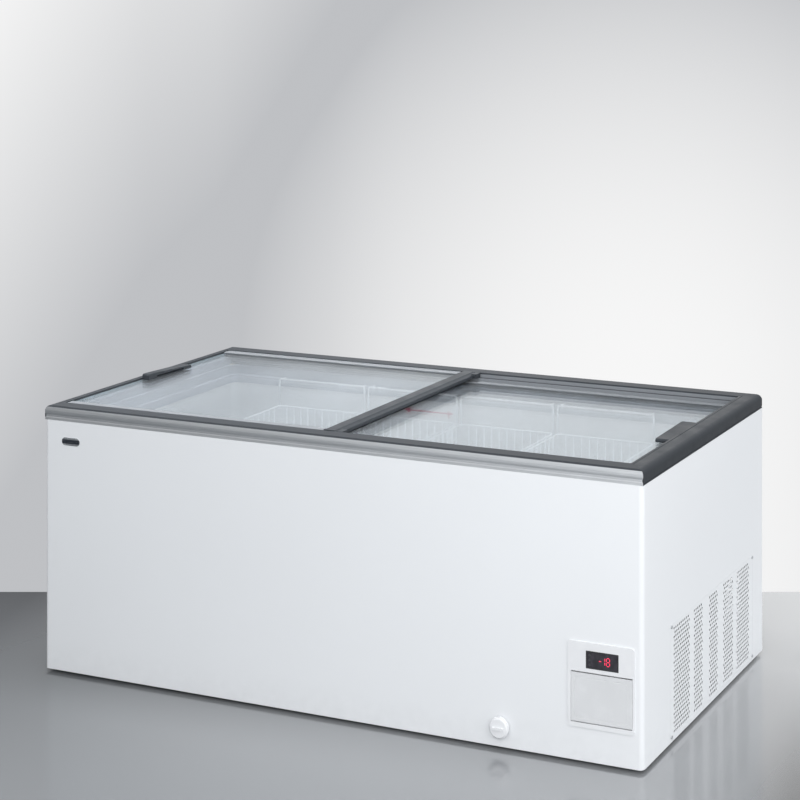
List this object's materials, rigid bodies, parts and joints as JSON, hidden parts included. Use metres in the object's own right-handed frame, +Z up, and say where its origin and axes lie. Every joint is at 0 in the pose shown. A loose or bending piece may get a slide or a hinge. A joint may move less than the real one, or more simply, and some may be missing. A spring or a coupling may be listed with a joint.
{
  "type": "ice cream dipping cabinet",
  "caption": "Low chest freezer for ice cream with overlapping sliding glass lids, hanging wire baskets, a front controller with a drop flap, and a side vent over the machine bay.",
  "frame": {"origin": "on the floor under the middle of the cabinet's footprint", "axes": "+X to the right seen from the front, along the length; -Y towards the user; +Z up"},
  "size_m": [1.702, 0.737, 0.695],
  "materials": {
    "white_paint": "satin white enamel on steel sheet",
    "galvanised": "spangled zinc coating",
    "screw_steel": "zinc plated",
    "grey_plastic": "moulded, fine texture",
    "liner_white": "smooth white coating on aluminium",
    "collar_grey": "blue-grey moulded plastic",
    "foam": null,
    "rail_aluminium": "anodised extrusion",
    "dark_plastic": "dark grey satin plastic",
    "white_plastic": "white moulded plastic",
    "flap_white": "off-white moulded plastic",
    "black_plastic": "black moulded plastic",
    "display_gloss": "smoked gloss window",
    "display_red": "lit red segments",
    "board_green": "circuit board",
    "badge_dark": "plain dark badge, no lettering",
    "mark_red": "printed red line",
    "compressor_black": "black enamel",
    "grommet_rubber": "black rubber",
    "condenser_dark": "dull fins",
    "motor_dark": "painted casting",
    "copper": "drawn copper tube",
    "lid_glass": "clear tempered glass",
    "lid_edge_grey": "grey satin plastic",
    "nylon": "natural nylon",
    "aluminium_blade": "stamped sheet",
    "rocker_red": "red switch rocker",
    "key_grey": "dark grey key",
    "basket_white": "white plastic-coated wire"
  },
  "bodies": {
    "cabinet": {"outer_wrap": "white_paint", "rear_panel": "galvanised", "rear_service_cover": "galvanised", "panel_screws": "screw_steel", "base_pan": "galvanised", "glide_feet": "grey_plastic", "inner_tub": "liner_white", "tub_collar": "collar_grey", "insulation_foam": "foam", "bay_bulkhead": "galvanised", "front_rail": "rail_aluminium", "rear_rail": "rail_aluminium", "left_end_cap": "dark_plastic", "right_end_cap": "dark_plastic", "side_grille": "white_paint", "control_bezel": "white_plastic", "flap_hinge_pins": "screw_steel", "controller_body": "black_plastic", "display_window": "display_gloss", "display_digits": "display_red", "control_board": "board_green", "switch_housing": "black_plastic", "badge_plate": "badge_dark", "load_line_mark": "mark_red", "drain_pipe": "white_plastic", "compressor_deck": "galvanised", "compressor_shell": "compressor_black", "compressor_grommets": "grommet_rubber", "compressor_bolts": "screw_steel", "start_relay_box": "black_plastic", "condenser_coil": "condenser_dark", "fan_shroud": "black_plastic", "fan_motor": "motor_dark", "filter_drier": "copper", "refrigerant_lines": "copper", "evaporator_coil": "copper", "temperature_probe": "grommet_rubber", "power_inlet": "black_plastic"},
    "left_lid": {"left_lid_glass": "lid_glass", "left_lid_edges": "lid_edge_grey", "left_lid_bar": "dark_plastic", "left_lid_handle": "dark_plastic", "left_lid_glides": "nylon"},
    "right_lid": {"right_lid_glass": "lid_glass", "right_lid_edges": "lid_edge_grey", "right_lid_bar": "dark_plastic", "right_lid_handle": "dark_plastic", "right_lid_glides": "nylon"},
    "fan": {"fan_blade": "aluminium_blade"},
    "flap": {"service_flap": "flap_white"},
    "drain_plug": {"drain_cap": "white_plastic"},
    "power_switch": {"power_rocker": "rocker_red"},
    "set_key": {"button_set": "key_grey"},
    "up_key": {"button_up": "key_grey"},
    "down_key": {"button_down": "key_grey"},
    "basket_1": {"basket_1": "basket_white"},
    "basket_2": {"basket_2": "basket_white"},
    "basket_3": {"basket_3": "basket_white"},
    "basket_4": {"basket_4": "basket_white"}
  },
  "joints": [
    {"name": "left_lid_slide", "type": "slide", "parent": "cabinet", "child": "left_lid", "axis": [1, 0, 0], "range_m": [0, 0.75]},
    {"name": "right_lid_slide", "type": "slide", "parent": "cabinet", "child": "right_lid", "axis": [-1, 0, 0], "range_m": [0, 0.75]},
    {"name": "fan_spin", "type": "hinge", "parent": "cabinet", "child": "fan", "pos_m": [0.76, 0.04, 0.15], "axis": [1, 0, 0], "continuous": true},
    {"name": "flap_hinge", "type": "hinge", "parent": "cabinet", "child": "flap", "pos_m": [0.747, -0.359, 0.101], "axis": [1, 0, 0], "range_deg": [0, 90]},
    {"name": "drain_cap_turn", "type": "hinge", "parent": "cabinet", "child": "drain_plug", "pos_m": [0.486, -0.36, 0.055], "axis": [0, 1, 0], "range_deg": [0, 90]},
    {"name": "power_switch_rock", "type": "hinge", "parent": "cabinet", "child": "power_switch", "pos_m": [0.725, -0.312, 0.155], "axis": [1, 0, 0], "range_deg": [-16, 0]},
    {"name": "set_key_press", "type": "slide", "parent": "cabinet", "child": "set_key", "axis": [0, 1, 0], "range_m": [0, 0.0008], "stiffness_N_per_m": 400},
    {"name": "up_key_press", "type": "slide", "parent": "cabinet", "child": "up_key", "axis": [0, 1, 0], "range_m": [0, 0.0008], "stiffness_N_per_m": 400},
    {"name": "down_key_press", "type": "slide", "parent": "cabinet", "child": "down_key", "axis": [0, 1, 0], "range_m": [0, 0.0008], "stiffness_N_per_m": 400},
    {"name": "basket_1_lift", "type": "slide", "parent": "cabinet", "child": "basket_1", "axis": [0, 0, 1], "range_m": [0, 0.022]},
    {"name": "basket_2_lift", "type": "slide", "parent": "cabinet", "child": "basket_2", "axis": [0, 0, 1], "range_m": [0, 0.022]},
    {"name": "basket_3_lift", "type": "slide", "parent": "cabinet", "child": "basket_3", "axis": [0, 0, 1], "range_m": [0, 0.022]},
    {"name": "basket_4_lift", "type": "slide", "parent": "cabinet", "child": "basket_4", "axis": [0, 0, 1], "range_m": [0, 0.022]}
  ]
}
